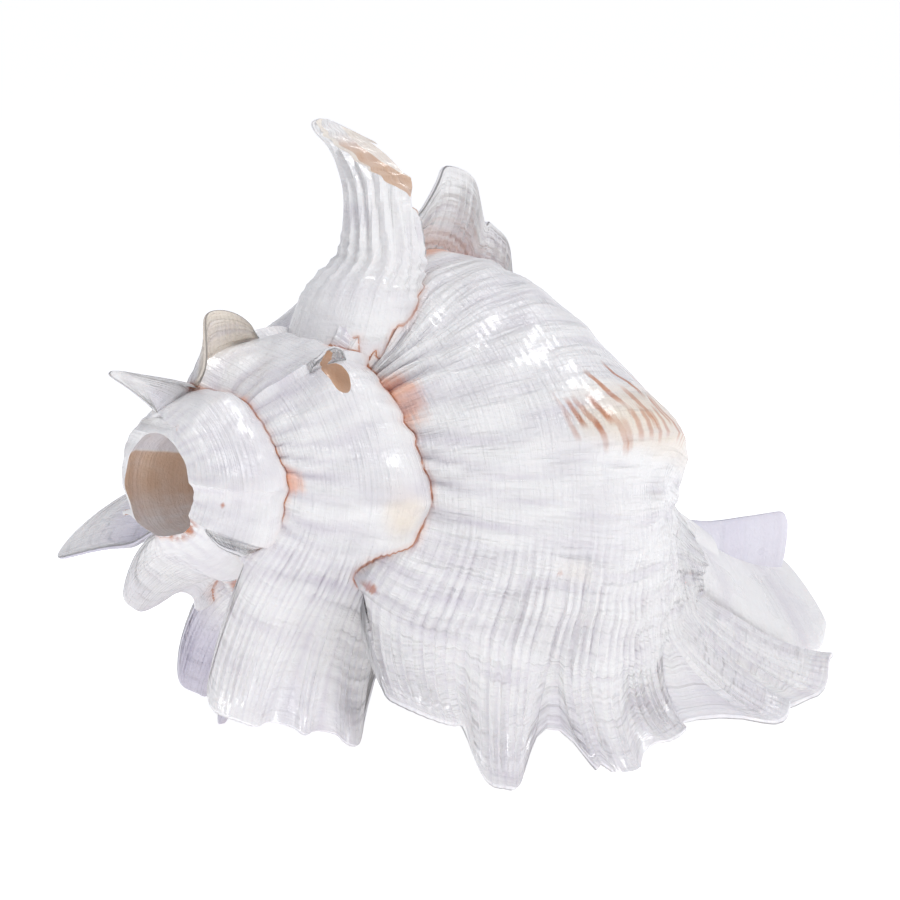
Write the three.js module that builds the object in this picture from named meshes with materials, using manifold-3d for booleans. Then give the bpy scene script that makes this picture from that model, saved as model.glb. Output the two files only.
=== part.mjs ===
// A murex shell: one grown piece with a spiral body, leafy varices, an aperture, a canal and a broken
// apex. The shell is grown along its own axis (apex at the low end of X, canal at the high end) and is
// then laid on the tips of its fronds, with +Z up and the ground at Z = 0. Millimetres and degrees.
import * as THREE from 'three';
import { mergeVertices } from 'three/addons/utils/BufferGeometryUtils.js';
import Module from 'manifold-3d';

const wasm = await Module();
wasm.setup();

// Growth: each turn is this much larger than the one before, and the lip stopped at this clock angle,
// seen from the apex. A turn of 0 is the lip, and negative turns are older shell.
const growthPerTurn = 1.65;
const lipClock = 130;
const firstTurn = -1040;
const rowStep = 13;             // degrees of growth between two rows of facets
const youngRowStep = 20;        // the same on the small whorls
const youngUntil = -520;
const columnCount = 27;         // points across a whorl, from suture to neck
const settle = 2.6;             // degrees of growth that a flange is thick at its foot
const innerRadius = 1;          // the whorls close this far from the axis, inside the columella

// Outline of the last whorl: distance from the virtual apex, then radius, suture first.
const whorlOutline = [
  [70, 27], [74, 34], [82, 41], [94, 49], [105, 54.5], [114, 55], [125, 50],
  [138, 40], [151, 28], [164, 18], [176, 12],
];
const canalSag = 28;            // how far the canal end bends down out of the shell's axis
const sagFrom = 115;
const sagTo = 200;

const flangeFoot = 3;           // flange thickness at the foot of a full grown varix
const flangeRim = 1.5;          // the same at its rim
const leastThickness = 1.1;     // no flange is thinner than this anywhere
const varixSwell = 1.2;         // how far the whorl swells towards a varix
const varixSwellSpan = 16;      // degrees of growth that the swelling takes
const flareRise = 2.4;          // and how far it flares out at the very foot of the flange
const flareSpan = 5;
const climbSpanBefore = 17;     // degrees of growth that the suture takes to climb to a varix
const climbSpanAfter = 9;       // and to come down again
const climbAcross = 0.34;       // how far across the whorl the climb is felt
const climbOutward = 0.55;      // radius gained for each millimetre climbed
const wrapSpan = 34;            // degrees of growth that the foot of a wrapped varix is carried ahead in
const wrapAcross = 0.3;
const flangeRows = 5;           // rows of facets up a flange
const lowFlangeRows = 3;
const flangeSlack = 0.01;       // a row this close after the varix still belongs to it
const lowFlange = 16;           // a flange lower than this gets the fewer rows
const seam = 0.004;             // share of the whorl's width between a flange's end and the bare whorl

const columellaSides = 14;
const canalSides = 12;
const apexSides = 16;
const columellaProfile = [[26, 3], [70, 5], [105, 11], [140, 9.5], [160, 8], [178, 6.5]];

// The canal is a flattened tube beyond the neck: distance along the axis, its two edges measured out
// from the axis at the lip's clock angle, and its thickness. An older canal's end stands beside it.
const canalStations = [
  [146, -7, 9, 11], [160, -9, 14, 12], [175, -11, 19, 10.5], [188, -12, 24, 8], [200, -11, 24, 5.5],
  [208, -4, 17, 3],
];
const oldCanalClock = 8;
const oldCanalStations = [
  [140, -3, 3, 9], [160, -5, 4, 8], [176, -6, 8, 6.5], [190, -6, 13, 4.5], [201, -5, 15, 3.2],
  [204, -2, 13, 2.4],
];
const canalSlit = { width: 2.6, from: 134, to: 200, across: [13, 5], depth: 12, flare: 1.6, steps: 6 };

// The tall horn of the varix above the aperture, in level sections: the middle of each, its half width
// along the broad side and its half depth. The broad side is turned by hornFacing about the vertical.
const hornFacing = -40;
const hornSides = 14;
const hornStations = [
  [69, -5.5, 24, 15, 14.5], [69.5, -5, 33.5, 13, 12], [70.5, -6, 39, 11.7, 10.5],
  [73, -7.5, 45, 9.1, 9.5], [73.3, -7, 51.5, 7.9, 8.5], [73.7, -5.5, 57.5, 7.5, 7.8],
  [74, -3.8, 62.5, 7.9, 7], [72, -0.3, 67, 6.4, 5.6], [69, 3.4, 70, 4.7, 4.2],
  [67.2, 5.8, 72, 2.8, 2.6], [66.7, 6.3, 73, 0.9, 1.2],
];
const hornMouth = [             // takes the near wall down to its sloping rim
  [89, -24.6, 53, 10, 10.3], [84.2, -19.5, 57.5, 10, 10], [79.1, -14.1, 61.5, 10, 9.7],
  [74.2, -9, 66, 10, 9.1], [68.8, -4.1, 70.5, 10, 8], [65, -0.8, 76, 10, 7.2],
];
const hornChannel = [           // and the channel behind that rim
  [91, -21.8, 51.5, 12, 6.4], [87.3, -17.8, 54.5, 12, 6.1], [84.5, -14.3, 58, 12, 5.6],
  [82.4, -11, 62, 12, 5], [79.1, -6.5, 66.5, 12, 3.7], [75.7, -2.3, 70, 12, 2.1],
  [74.3, 0, 73.5, 12, 0.8],
];

// A short open groove left by a hollow spine: its place on the whorl and its half sizes along the
// growth, across the whorl and into it.
const groove = { turn: -446, across: 0.3, half: [5.5, 1.9, 3.2], detail: [10, 6] };

// The aperture's hollow, as an outline at the lip: distance along the axis, then radius.
const apertureOutline = [
  [81, 30.5], [88, 38.5], [97, 44.5], [106, 46.5], [115, 46], [124, 40.5], [133, 32], [143, 19],
  [142, 14], [133, 12], [124, 12], [115, 13], [106, 15], [97, 19.5], [88, 25.5], [82, 29.5],
];
const apertureDepth = 150;      // degrees of growth that the hollow reaches back from the lip
const apertureSteps = 13;
const apertureMouth = 16;       // and this far ahead of it, to open the lip's own face
const apexLost = [[-6, 7], [14, 12], [23.5, 14]];       // what broke off the apex
const apexDrop = 2.5;           // the break lies a little below the axis
const apexPocket = [[20, 10.6], [24, 10.6], [32, 9.8], [39, 7.8], [44, 4.4], [46, 1]];

const pitch = 4;                // canal end down
const restHeight = 66;          // height of the shell's axis above the ground, at the virtual apex
const leastFacet = 0.03;        // slivers smaller than this are merged away
const apart = 0.02;             // how far folds that touch at a point are drawn apart
const groundSpan = 400;
const groundDepth = 20;

// Each varix is a row of fronds. A frond runs between two places across the whorl (0 suture, 1 neck).
// reach: length at full growth; lean: forward lean at foot and tip; splay: turn towards the canal;
// swing: how far ahead of the varix it points, in degrees of growth;
// hook: bend of the tip towards the apex; taper: narrowing; curl: fold into a channel; twist: turn
// about its own length; soon: the part of the length in which the twist is done; square: how
// flat-topped; web: height of the flange on each side of it.
const frondDefaults = {
  lean: [50, 0], splay: 0, swing: 0, hook: 0, taper: 0.6, curl: 0.9, twist: 0, soon: 1, square: 3,
  web: [3, 3],
};
const frond = (from, to, reach, shape = {}) => ({ ...frondDefaults, from, to, reach, ...shape });
const varix = (turn, climb, ...fronds) => ({ turn, climb, wrap: 0, fronds });
const wrapped = (turn, climb, wrap, ...fronds) => ({ turn, climb, wrap, fronds });
const varices = [
  varix(-985, 2, frond(0.1, 0.4, 8, { square: 2 })),
  varix(-858, 2, frond(0.12, 0.5, 66, { lean: [15, 0], splay: -80, taper: 0.7, curl: 0.6, square: 2 })),
  varix(-720, 3, frond(0.12, 0.36, 8)),
  varix(
    -655, 6,
    frond(0.04, 0.42, 38, { splay: -24, taper: 0.4, square: 3, curl: 0.4, web: [3, 20] }),
    frond(0.42, 0.62, 36, { splay: -14, taper: 0.2, square: 4, curl: 0.4, web: [20, 14] }),
  ),
  varix(-497, 6, frond(0.02, 0.3, 17, { splay: -20, taper: 0.3, square: 2.4 })),
  varix(-456, 0, frond(0.25, 0.36, 5, { lean: [10, 0], taper: 0.3 })),
  varix(
    -348, 12,
    frond(0.02, 0.22, 48, { web: [30, 41], square: 5, splay: -30, taper: 0.1 }),
    frond(0.22, 0.29, 47, { web: [40, 40], splay: -25, taper: 0.2 }),
    frond(0.29, 0.4, 45, { web: [39, 28], splay: -18, taper: 0.2 }),
  ),
  varix(
    -290, 4,
    frond(0.06, 0.3, 42, { taper: 0.3, square: 7, curl: 0.3, splay: 0, swing: -8, web: [3, 10] }),
    frond(0.3, 0.44, 54, { web: [10, 14] }),
    frond(0.44, 0.57, 57, { web: [14, 10] }),
    frond(0.57, 0.72, 26, { web: [8, 6] }),
    frond(0.72, 0.9, 14),
  ),
  varix(
    -252, 6,
    frond(0.02, 0.34, 48, {
      splay: -26, hook: 6, square: 2.2, swing: -9, twist: -60, soon: 0.5, taper: 0.5,
    }),
    frond(0.34, 0.44, 10),
  ),
  wrapped(
    -135, 6, 34,
    frond(0.2, 0.36, 6),
    frond(0.36, 0.5, 21, { taper: 0.1, square: 5, web: [9, 12] }),
    frond(0.5, 0.62, 14, { taper: 0.1, square: 4, web: [8, 5] }),
    frond(0.62, 0.68, 8),
    frond(0.68, 0.78, 5),
    frond(0.78, 0.92, 4),
  ),
  varix(
    0, 13,
    frond(0.006, 0.16, 20, { splay: -5, taper: 0.1, curl: 0.3, square: 8, web: [19, 16] }),
    frond(0.16, 0.3, 30, { splay: -5, hook: 8, taper: 0.4, square: 4, web: [16, 2] }),
    frond(0.3, 0.35, 23, { taper: 0.3, web: [2, 16] }),
    frond(0.35, 0.42, 24, { taper: 0.1, square: 6, web: [16, 15] }),
    frond(0.42, 0.58, 20, { lean: [50, -20], taper: 0.3, square: 4, web: [16, 14] }),
    frond(0.58, 0.78, 26, { lean: [30, -10], splay: 42, swing: -30, taper: 0.1, square: 4, web: [16, 22] }),
    frond(0.78, 0.994, 31, { lean: [20, -10], splay: 58, swing: -40, taper: 0, square: 4, web: [24, 10] }),
  ),
];

// Rounded knobs on the shoulder between two varices; each rises over span and falls away over after.
const knobs = [
  { turn: -53, across: 0.45, rise: 7.5, span: 14, after: 5, width: 0.15 },
  { turn: -50, across: 0.62, rise: 5, span: 16, after: 10, width: 0.12 },
  { turn: -185, across: 0.36, rise: 5, span: 14, after: 14, width: 0.18 },
  { turn: -396, across: 0.36, rise: 6, span: 14, after: 8, width: 0.12 },
  { turn: -446, across: 0.3, rise: 6, span: 9, after: 14, width: 0.09 },
  { turn: -494, across: 0.16, rise: 6, span: 12, after: 8, width: 0.14 },
  { turn: -560, across: 0.3, rise: 4, span: 12, after: 12, width: 0.12 },
  { turn: -670, across: 0.3, rise: 4, span: 12, after: 12, width: 0.12 },
  { turn: -756, across: 0.24, rise: 10, span: 16, after: 5, width: 0.2 },
  { turn: -820, across: 0.3, rise: 5, span: 12, after: 8, width: 0.14 },
  { turn: -915, across: 0.3, rise: 4, span: 12, after: 12, width: 0.12 },
];

const radians = THREE.MathUtils.degToRad;
const smooth = (from, to, value) => {
  const part = THREE.MathUtils.clamp((value - from) / (to - from), 0, 1);
  return part * part * (3 - 2 * part);
};
const bell = (value, centre, width) => Math.exp(-(((value - centre) / width) ** 2));
const growth = (turn) => growthPerTurn ** (turn / 360);

const outlineCurve = new THREE.SplineCurve(whorlOutline.map(([x, r]) => new THREE.Vector2(x, r)));

// A point from its distance along the axis and its radius, at full growth, carried to its turn.
function place(x, r, turn) {
  const clock = radians(lipClock + turn);
  const size = growth(turn);
  return new THREE.Vector3(x * size, -r * size * Math.sin(clock), r * size * Math.cos(clock));
}

// The last bend of growth: the canal end comes down out of the axis.
function bendCanal(point) {
  return point.setZ(point.z - canalSag * smooth(sagFrom, sagTo, point.x));
}

// How far the suture climbs the older whorl where a varix was built.
function sutureClimb(across, turn) {
  let climb = 0;
  for (const one of varices) {
    const ahead = turn - one.turn;
    climb += one.climb * bell(ahead, 0, ahead < 0 ? climbSpanBefore : climbSpanAfter);
  }
  return climb * smooth(climbAcross, 0, across) ** 1.4;
}

// How far ahead the foot of a wrapped varix runs beside the suture, in degrees.
function sutureWrap(across, turn) {
  let ahead = 0;
  for (const one of varices) {
    ahead += one.wrap * bell(turn, one.turn, wrapSpan);
  }
  return ahead * smooth(wrapAcross, 0, across);
}

function relief(across, turn) {
  let rise = 0;
  for (const one of varices) {
    const before = turn - one.turn;
    if (before < flangeSlack) {
      rise += varixSwell * bell(before, 0, varixSwellSpan);
      rise += flareRise * Math.exp(Math.min(before, 0) / flareSpan);
    }
  }
  rise *= smooth(0.02, 0.14, across) * smooth(1, 0.8, across);
  for (const knob of knobs) {
    const reach = turn < knob.turn ? knob.span : knob.after;
    rise += knob.rise * bell(turn, knob.turn, reach) * bell(across, knob.across, knob.width);
  }
  return rise;
}

// The outer face of the whorl.
function whorlPoint(across, turn) {
  const point = outlineCurve.getPointAt(across);
  const along = outlineCurve.getTangentAt(across);
  const rise = relief(across, turn);
  const climb = sutureClimb(across, turn);
  const x = point.x - along.y * rise - climb;
  const r = point.y + along.x * rise + climbOutward * climb;
  return place(x, r, turn + sutureWrap(across, turn));
}

// One point of a flange's back face and the way its front looks there: level 0 is the foot, 1 the rim.
function flangePoint(one, across, level) {
  const foot = whorlPoint(across, one.turn);
  const leaf = one.fronds.find((each) => across >= each.from && across <= each.to);
  const clock = radians(lipClock + one.turn + (leaf ? leaf.swing : 0));
  const outward = new THREE.Vector3(0, -Math.sin(clock), Math.cos(clock));
  const forward = new THREE.Vector3(0, -Math.cos(clock), -Math.sin(clock));
  const axis = new THREE.Vector3(1, 0, 0);
  if (!leaf) {
    return { point: foot, front: null };
  }
  const size = growth(one.turn);
  const side = (2 * across - leaf.from - leaf.to) / (leaf.to - leaf.from);
  const web = THREE.MathUtils.lerp(leaf.web[0], leaf.web[1], (side + 1) / 2);
  const rim = web + (leaf.reach - web) * Math.max(0, 1 - Math.abs(side) ** leaf.square) ** 0.6;
  const part = (level * rim) / leaf.reach;
  const [leanFoot, leanTip] = leaf.lean.map(radians);
  const bend = leanTip - leanFoot;
  const lean = leanFoot + bend * part;
  const splay = radians(leaf.splay);
  const stem = outward.clone().multiplyScalar(Math.cos(splay)).addScaledVector(axis, Math.sin(splay));
  const path = stem.clone().multiplyScalar((leaf.reach * (Math.sin(lean) - Math.sin(leanFoot))) / bend);
  path.addScaledVector(forward, (leaf.reach * (Math.cos(leanFoot) - Math.cos(lean))) / bend);
  path.addScaledVector(axis, -leaf.hook * part * part);

  const start = whorlPoint(leaf.from, one.turn);
  const end = whorlPoint(leaf.to, one.turn);
  const halfWidth = start.distanceTo(end) / 2 / size;
  const edge = end.sub(start).normalize();
  const face = stem.clone().multiplyScalar(-Math.sin(lean)).addScaledVector(forward, Math.cos(lean));
  const turned = radians(leaf.twist) * smooth(0, leaf.soon, part);
  const acrossLeaf = edge.clone().multiplyScalar(Math.cos(turned)).addScaledVector(face, -Math.sin(turned));
  const outOfLeaf = face.clone().multiplyScalar(Math.cos(turned)).addScaledVector(edge, Math.sin(turned));
  const fold = Math.max(leaf.curl * Math.min(1, part / leaf.soon) ** 0.8, 0.0001);
  const width = halfWidth * (1 - leaf.taper * part ** 1.1);
  path.addScaledVector(acrossLeaf, (width * Math.sin(fold * side)) / fold);
  path.addScaledVector(outOfLeaf, (width * (1 - Math.cos(fold * side))) / fold);
  path.addScaledVector(edge, -halfWidth * side);
  const front = outOfLeaf.multiplyScalar(Math.cos(fold * side));
  front.addScaledVector(acrossLeaf, -Math.sin(fold * side)).normalize();
  return { point: foot.addScaledVector(path, size), front };
}

// Columns for one varix: the edges and middles of its fronds, then the widest gaps halved.
function columnsOf(one) {
  const places = new Set([0, 1]);
  for (const leaf of one.fronds) {
    places.add(leaf.from);
    places.add((leaf.from + leaf.to) / 2);
    places.add(leaf.to);
  }
  const first = one.fronds[0].from;
  const last = one.fronds[one.fronds.length - 1].to;
  places.add(first - seam);
  places.add(last + seam);
  const columns = [...places].sort((a, b) => a - b);
  while (columns.length < columnCount) {
    let widest = 0;
    let gapAt = 1;
    for (let i = 1; i < columns.length; i += 1) {
      const here = flangePoint(one, columns[i], 1).point;
      const gap = here.distanceTo(flangePoint(one, columns[i - 1], 1).point);
      if (gap > widest && columns[i] - columns[i - 1] > 1.5 * seam) {
        widest = gap;
        gapAt = i;
      }
    }
    columns.splice(gapAt, 0, (columns[gapAt] + columns[gapAt - 1]) / 2);
  }
  return columns;
}

// A closed manifold-3d solid from points and triangles.
function solidFrom(points, triangles) {
  const loose = new THREE.BufferGeometry().setFromPoints(points);
  loose.setIndex(triangles.flat());
  return solidOf(loose);
}

function solidOf(geometry) {
  const bare = geometry.clone();
  bare.deleteAttribute('normal');
  bare.deleteAttribute('uv');
  const merged = mergeVertices(bare, 0.0002);
  const index = merged.index.array;
  const kept = [];
  for (let i = 0; i < index.length; i += 3) {
    const [a, b, c] = index.slice(i, i + 3);
    if (a !== b && b !== c && c !== a) {
      kept.push(a, b, c);
    }
  }
  const mesh = new wasm.Mesh({
    numProp: 3,
    vertProperties: Float32Array.from(merged.attributes.position.array),
    triVerts: Uint32Array.from(kept),
  });
  return new wasm.Manifold(mesh);
}

// A cap across a loop, as a ladder from its first and last points to its middle two.
function capTriangles(size) {
  const triangles = [];
  for (let i = 0; i < size / 2 - 1; i += 1) {
    const far = size - 1 - i;
    triangles.push([i, i + 1, far - 1], [i, far - 1, far]);
  }
  return triangles;
}

// A solid through a run of closed loops, each with the same even number of points, capped at both
// ends and bent with the canal.
function loftLoops(loops) {
  const size = loops[0].length;
  const triangles = [];
  for (let row = 0; row + 1 < loops.length; row += 1) {
    for (let i = 0; i < size; i += 1) {
      const next = (i + 1) % size;
      const low = row * size;
      const high = low + size;
      triangles.push([low + i, high + i, low + next], [low + next, high + i, high + next]);
    }
  }
  const lastRow = (loops.length - 1) * size;
  for (const [a, b, c] of capTriangles(size)) {
    triangles.push([a, b, c], [lastRow + a, lastRow + c, lastRow + b]);
  }
  return solidFrom(loops.flat().map((point) => bendCanal(point.clone())), triangles);
}

// A loop of the whorl, closed by a point near the axis for each point across its foot.
function closeLoop(points, feet, turn) {
  const inner = feet.map((foot) => place(foot.x / growth(turn), innerRadius, turn));
  return [...points, ...inner.reverse()];
}

function whorlLoop(columns, turn) {
  const points = columns.map((across) => whorlPoint(across, turn));
  return closeLoop(points, points, turn);
}

// The flange: up its back face, over the rim and down its front face to the shell that follows.
function flangeLoops(one, columns) {
  const size = growth(one.turn);
  const tallest = Math.max(...one.fronds.map((leaf) => leaf.reach)) * size;
  const levelCount = tallest > lowFlange ? flangeRows : lowFlangeRows;
  const levels = Array.from({ length: levelCount }, (unused, i) => (i / (levelCount - 1)) ** 0.8);
  const feet = columns.map((across) => whorlPoint(across, one.turn));
  const landing = columns.map((across) => whorlPoint(across, one.turn + settle));
  const back = levels.map((level) => {
    return closeLoop(columns.map((across) => flangePoint(one, across, level).point), feet, one.turn);
  });
  const front = levels.toReversed().map((level) => {
    const thinned = size * THREE.MathUtils.lerp(flangeFoot, flangeRim, level ** 0.6);
    const thickness = Math.max(leastThickness, thinned);
    const raised = smooth(0, 0.3, level);
    const points = columns.map((across, i) => {
      const spot = flangePoint(one, across, level);
      if (!spot.front) {
        return landing[i];
      }
      return spot.point.addScaledVector(spot.front, thickness).lerp(landing[i], 1 - raised);
    });
    return level > 0 ? closeLoop(points, feet, one.turn) : closeLoop(landing, landing, one.turn + settle);
  });
  return [...back, ...front];
}

// The whorls, one solid from each varix to the next.
function growWhorls() {
  let body = null;
  let columns = columnsOf(varices[0]);
  let startTurn = firstTurn;
  for (const one of varices) {
    const nextColumns = columnsOf(one);
    const step = one.turn <= youngUntil ? youngRowStep : rowStep;
    const rows = Math.max(2, Math.round((one.turn - startTurn) / step));
    const loops = [];
    for (let row = 0; row < rows; row += 1) {
      const part = row / rows;
      const shift = smooth(0, 0.8, part);
      const between = columns.map((across, i) => THREE.MathUtils.lerp(across, nextColumns[i], shift));
      loops.push(whorlLoop(between, THREE.MathUtils.lerp(startTurn, one.turn, part)));
    }
    loops.push(...flangeLoops(one, nextColumns));
    const piece = loftLoops(loops);
    body = body ? body.add(piece) : piece;
    columns = nextColumns;
    startTurn = one.turn + settle;
  }
  return body;
}

// A turned solid about the shell's axis; the profile is distance along the axis, then radius.
function turnedSolid(profile, sides) {
  const clocks = Array.from({ length: sides }, (unused, i) => (2 * Math.PI * i) / sides);
  const loops = profile.map(([x, r]) => clocks.map((clock) => {
    return new THREE.Vector3(x, r * Math.sin(clock), r * Math.cos(clock));
  }));
  return loftLoops(loops);
}

// A flattened tube: each station is distance along the axis, two edges and a thickness.
function flatTube(stations, clockAngle, sides) {
  const clock = radians(clockAngle);
  const loops = stations.map(([x, low, high, thickness]) => {
    return Array.from({ length: sides }, (unused, i) => {
      const angle = (-2 * Math.PI * i) / sides;
      const edge = (low + high) / 2 + ((high - low) / 2) * Math.cos(angle);
      const face = (thickness / 2) * Math.sin(angle);
      return new THREE.Vector3(
        x,
        -edge * Math.sin(clock) - face * Math.cos(clock),
        edge * Math.cos(clock) - face * Math.sin(clock),
      );
    });
  });
  return loftLoops(loops);
}

// A solid through level sections, each an ellipse about its middle.
function levelSolid(stations) {
  const facing = radians(hornFacing);
  const loops = stations.map(([x, y, z, halfWidth, halfDepth]) => {
    return Array.from({ length: hornSides }, (unused, i) => {
      const angle = (-2 * Math.PI * i) / hornSides;
      const along = halfWidth * Math.cos(angle);
      const through = halfDepth * Math.sin(angle);
      return new THREE.Vector3(
        x + along * Math.cos(facing) - through * Math.sin(facing),
        y + along * Math.sin(facing) + through * Math.cos(facing),
        z,
      );
    });
  });
  return loftLoops(loops);
}

function canalSlitSolid() {
  const { width, from, to, across, depth, flare, steps } = canalSlit;
  const clock = radians(lipClock);
  const corners = [[-1, 0], [-flare, 1], [flare, 1], [1, 0]];
  const loops = Array.from({ length: steps + 1 }, (unused, i) => {
    const x = THREE.MathUtils.lerp(from, to, i / steps);
    const middle = THREE.MathUtils.lerp(across[0], across[1], i / steps);
    return corners.map(([side, out]) => {
      const edge = middle + (side * width) / 2;
      const face = out * depth;
      return new THREE.Vector3(
        x,
        -edge * Math.sin(clock) - face * Math.cos(clock),
        edge * Math.cos(clock) - face * Math.sin(clock),
      );
    });
  });
  return loftLoops(loops);
}

function grooveSolid() {
  const { turn, across, half, detail } = groove;
  const middle = whorlPoint(across, turn);
  const along = whorlPoint(across, turn + 1).sub(middle).normalize();
  const inward = middle.clone().setX(0).normalize().negate();
  const sideways = new THREE.Vector3().crossVectors(inward, along).normalize();
  const turned = new THREE.Matrix4().makeBasis(along, sideways, inward).setPosition(middle);
  const ball = new THREE.SphereGeometry(1, ...detail).scale(...half);
  return solidOf(ball).transform(turned.elements);
}

// The hollow behind the lip, carried back through the whorl and out past the lip's own face.
function apertureSolid() {
  const loops = Array.from({ length: apertureSteps + 1 }, (unused, i) => {
    const turn = THREE.MathUtils.lerp(-apertureDepth, apertureMouth, i / apertureSteps);
    return apertureOutline.map(([x, r]) => place(x, r, turn));
  });
  return loftLoops(loops);
}

// Folds of the skin can touch at a point. Each point there is drawn a little towards its own
// neighbours, so that the skin stays one closed surface.
function drawApart(places, corners) {
  const read = (at) => new THREE.Vector3().fromArray(places, 3 * at);
  const together = new Map();
  for (let at = 0; at < places.length / 3; at += 1) {
    const key = read(at).toArray().map((value) => value.toFixed(3)).join();
    together.set(key, [...(together.get(key) ?? []), at]);
  }
  const touching = new Set([...together.values()].filter((each) => each.length > 1).flat());
  const neighbours = new Map([...touching].map((at) => [at, []]));
  for (let i = 0; i < corners.length; i += 3) {
    const triangle = [...corners.slice(i, i + 3)];
    for (const at of triangle.filter((each) => touching.has(each))) {
      neighbours.get(at).push(...triangle.map(read));
    }
  }
  for (const [at, around] of neighbours) {
    const middle = around.reduce((sum, each) => sum.add(each), new THREE.Vector3());
    middle.divideScalar(around.length);
    const point = read(at);
    point.add(middle.sub(point).setLength(apart)).toArray(places, 3 * at);
  }
}

let shell = growWhorls();
shell = shell.add(turnedSolid(columellaProfile, columellaSides));
shell = shell.add(flatTube(canalStations, lipClock, canalSides));
shell = shell.add(flatTube(oldCanalStations, oldCanalClock, canalSides));
const horn = levelSolid(hornStations).subtract(levelSolid(hornMouth)).subtract(levelSolid(hornChannel));
shell = shell.add(horn);
shell = shell.subtract(apertureSolid()).subtract(canalSlitSolid());
for (const profile of [apexLost, apexPocket]) {
  shell = shell.subtract(turnedSolid(profile, apexSides).translate([0, 0, -apexDrop]));
}
shell = shell.subtract(grooveSolid());

// Laid in its resting pose, with the tips that it stands on worn flat at the ground.
const resting = new THREE.Matrix4().makeRotationY(radians(pitch)).setPosition(0, 0, restHeight);
const ground = new THREE.BoxGeometry(groundSpan, groundSpan, groundDepth).translate(0, 0, -groundDepth / 2);
shell = shell.transform(resting.elements).subtract(solidOf(ground));

// Where whorls meet, small pockets can stay between them: only the outside is kept, so they are filled.
const [whole] = shell.decompose().sort((a, b) => b.volume() - a.volume());

const grown = whole.simplify(leastFacet).getMesh();
drawApart(grown.vertProperties, grown.triVerts);
const geometry = new THREE.BufferGeometry();
geometry.setAttribute('position', new THREE.BufferAttribute(grown.vertProperties, 3));
geometry.setIndex(new THREE.BufferAttribute(grown.triVerts, 1));
geometry.computeBoundingBox();
const middle = geometry.boundingBox.getCenter(new THREE.Vector3());
geometry.translate(-middle.x, -middle.y, 0);

const material = new THREE.MeshStandardMaterial({ color: 0xefebe6, roughness: 0.35, metalness: 0 });
const murexShell = new THREE.Mesh(geometry, material);
murexShell.name = 'murex_shell';

const murex = new THREE.Group();
murex.add(murexShell);
export default murex;
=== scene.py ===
import math

import bmesh
import bpy
import numpy as np
from mathutils import Matrix, Vector
from mathutils.kdtree import KDTree


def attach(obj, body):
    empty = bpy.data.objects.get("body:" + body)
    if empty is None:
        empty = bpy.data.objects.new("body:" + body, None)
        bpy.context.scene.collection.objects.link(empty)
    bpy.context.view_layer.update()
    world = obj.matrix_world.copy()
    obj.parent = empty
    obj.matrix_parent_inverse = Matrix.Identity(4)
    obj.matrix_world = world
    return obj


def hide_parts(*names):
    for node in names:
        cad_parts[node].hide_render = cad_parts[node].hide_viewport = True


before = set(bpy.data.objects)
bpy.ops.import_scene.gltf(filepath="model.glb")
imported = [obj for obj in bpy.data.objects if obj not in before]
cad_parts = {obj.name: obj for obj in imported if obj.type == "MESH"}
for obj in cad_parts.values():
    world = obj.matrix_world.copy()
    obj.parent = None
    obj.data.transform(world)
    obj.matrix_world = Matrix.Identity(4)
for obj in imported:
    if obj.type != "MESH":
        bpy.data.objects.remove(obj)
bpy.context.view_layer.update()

# A murex shell, grown along its own axis from the apex to the canal and laid on the tips of its fronds.
# Lengths are in millimetres and turns in degrees of growth until a mesh is made.

millimetre = 0.001

growth = {
    "perTurn": 1.65,        # each turn is this much larger than the one before
    "lipClock": 130,        # where the lip stopped, seen from the apex
    "firstTurn": -1040,
    "innerRadius": 1,       # the whorls close this far from the axis, inside the columella
    "columns": 216,         # points across a whorl
    "innerColumns": 14,
    "rowStep": 2.4,
    "youngRowStep": 5,
    "youngUntil": -520,
    "settle": 2.6,          # a flange's foot is this many degrees thick
}
rest = {"pitch": 4, "shift": (-108.8, -0.75, 66)}
canalBend = {"sag": 28, "start": 115, "end": 200}

whorlOutline = np.array([
    (70, 27), (74, 34), (82, 41), (94, 49), (105, 54.5), (114, 55), (125, 50),
    (138, 40), (151, 28), (164, 18), (176, 12),
], float)


def frond(start, end, reach, **shape):
    leaf = {
        "lean": (50, 0), "splay": 0, "swing": 0, "hook": 0, "taper": 0.6, "curl": 0.9, "twist": 0,
        "soon": 1, "square": 3, "web": (3, 3),
    }
    leaf.update(shape, start=start, end=end, reach=reach)
    return leaf


def varix(turn, climb, *fronds, wrap=0, levels=12, ribs=1.0):
    return {"turn": turn, "climb": climb, "wrap": wrap, "fronds": fronds, "levels": levels, "ribs": ribs}


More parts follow.
